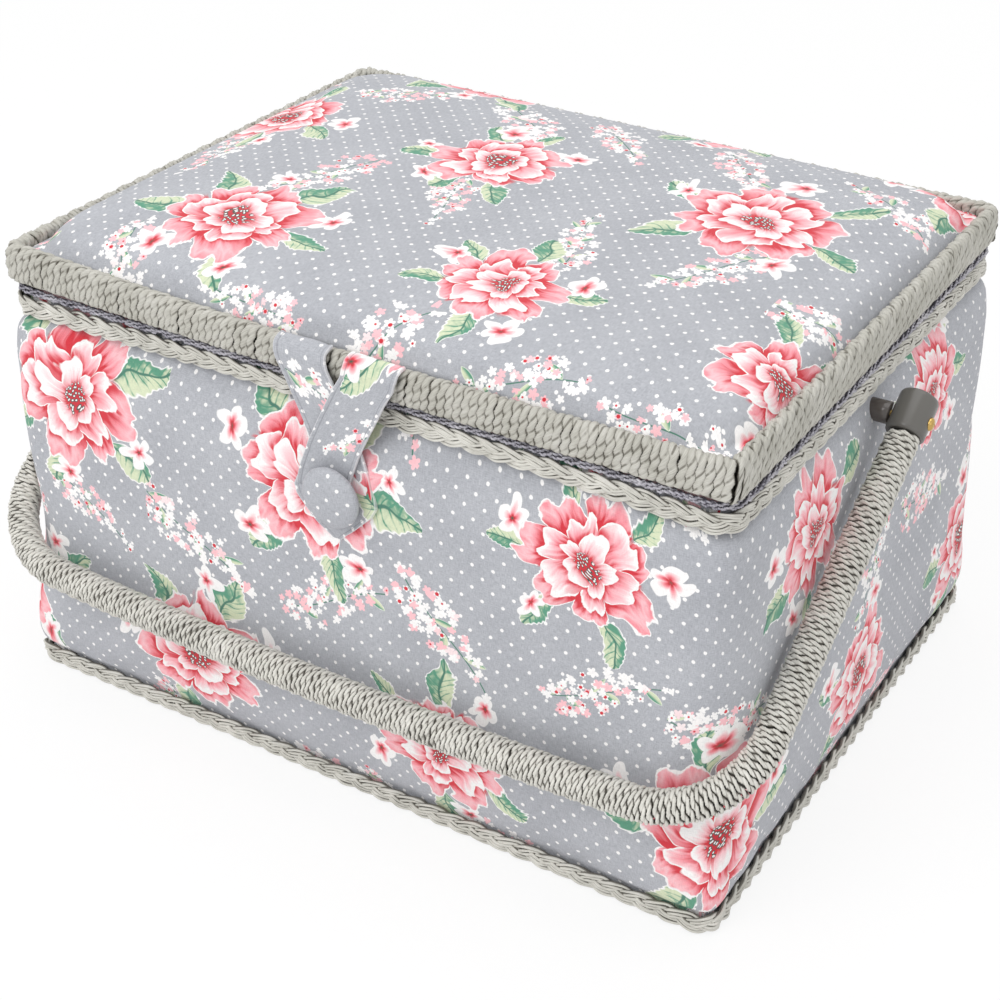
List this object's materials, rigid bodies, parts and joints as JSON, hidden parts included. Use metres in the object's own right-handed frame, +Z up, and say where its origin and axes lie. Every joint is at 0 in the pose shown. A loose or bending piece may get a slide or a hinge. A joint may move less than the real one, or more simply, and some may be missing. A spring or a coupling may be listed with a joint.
{
  "type": "sewing box",
  "caption": "Padded fabric-covered sewing box with a hinged lid in a cord-wound rim, a cloth loop and button closure, an inner tray and a cord-wound swing handle.",
  "frame": {"origin": "centre of the flat underside, on the surface that the box stands on", "axes": "+X to the right seen from the button side, +Y towards the hinges, +Z up"},
  "size_m": [0.3508, 0.272, 0.2036],
  "materials": {
    "print_fabric": "smooth woven cotton, pale grey with white pin dots and blossoms",
    "lining_fabric": "plain soft pink lining cloth",
    "paper_cord": "twisted paper cord, beige grey",
    "dark_cord": "thin twisted cord, purple grey",
    "board": "raw compressed board",
    "base_paper": "plain covering paper",
    "tray_plastic": "smooth white moulding",
    "cap_plastic": "smooth warm grey moulding",
    "hinge_brass": "plated sheet",
    "rivet_brass": "polished dome",
    "pin_steel": "plain bright steel"
  },
  "bodies": {
    "box": {"underside": "base_paper", "base_board": "board", "front_board": "board", "back_board": "board", "left_board": "board", "right_board": "board", "corner_front_left": "board", "corner_front_right": "board", "corner_back_right": "board", "corner_back_left": "board", "mouth_frame": "board", "body_cover": "print_fabric", "floor_lining": "lining_fabric", "wall_lining": "lining_fabric", "base_braid": "paper_cord", "mouth_braid": "paper_cord", "mouth_cord": "dark_cord", "mouth_cord_back": "dark_cord", "tray": "tray_plastic", "ledge_left": "lining_fabric", "ledge_right": "lining_fabric", "hinge_box_leaf_left": "hinge_brass", "hinge_box_leaf_right": "hinge_brass", "hinge_pin_left": "pin_steel", "hinge_pin_right": "pin_steel", "pivot_spacer_left": "cap_plastic", "pivot_washer_left": "pin_steel", "pivot_rivet_left": "rivet_brass", "pivot_spacer_right": "cap_plastic", "pivot_washer_right": "pin_steel", "pivot_rivet_right": "rivet_brass", "button_shank": "print_fabric", "closure_button": "print_fabric"},
    "lid": {"lid_wrap_front": "paper_cord", "lid_rail_front": "board", "lid_wrap_right": "paper_cord", "lid_rail_right": "board", "lid_wrap_back": "paper_cord", "lid_rail_back": "board", "lid_wrap_left": "paper_cord", "lid_rail_left": "board", "lid_board": "board", "lid_pad": "print_fabric", "lid_lining": "lining_fabric", "pincushion": "lining_fabric", "lid_pocket": "lining_fabric", "hinge_lid_leaf_left": "hinge_brass", "hinge_lid_leaf_right": "hinge_brass"},
    "handle": {"handle_wrap": "paper_cord", "handle_core": "cap_plastic", "handle_cap_left": "cap_plastic", "handle_cap_right": "cap_plastic"},
    "loop": {"closure_loop": "print_fabric"}
  },
  "joints": [
    {"name": "lid_hinge", "type": "hinge", "parent": "box", "child": "lid", "pos_m": [0, 0.1215, 0.1745], "axis": [-1, 0, 0], "range_deg": [0, 100]},
    {"name": "handle_swing", "type": "hinge", "parent": "box", "child": "handle", "pos_m": [0, 0, 0.1555], "axis": [-1, 0, 0], "range_deg": [0, 247]},
    {"name": "loop_lift", "type": "hinge", "parent": "lid", "child": "loop", "pos_m": [0, -0.117, 0.1925], "axis": [-1, 0, 0], "range_deg": [0, 120], "deforming": ["closure_loop"]}
  ]
}
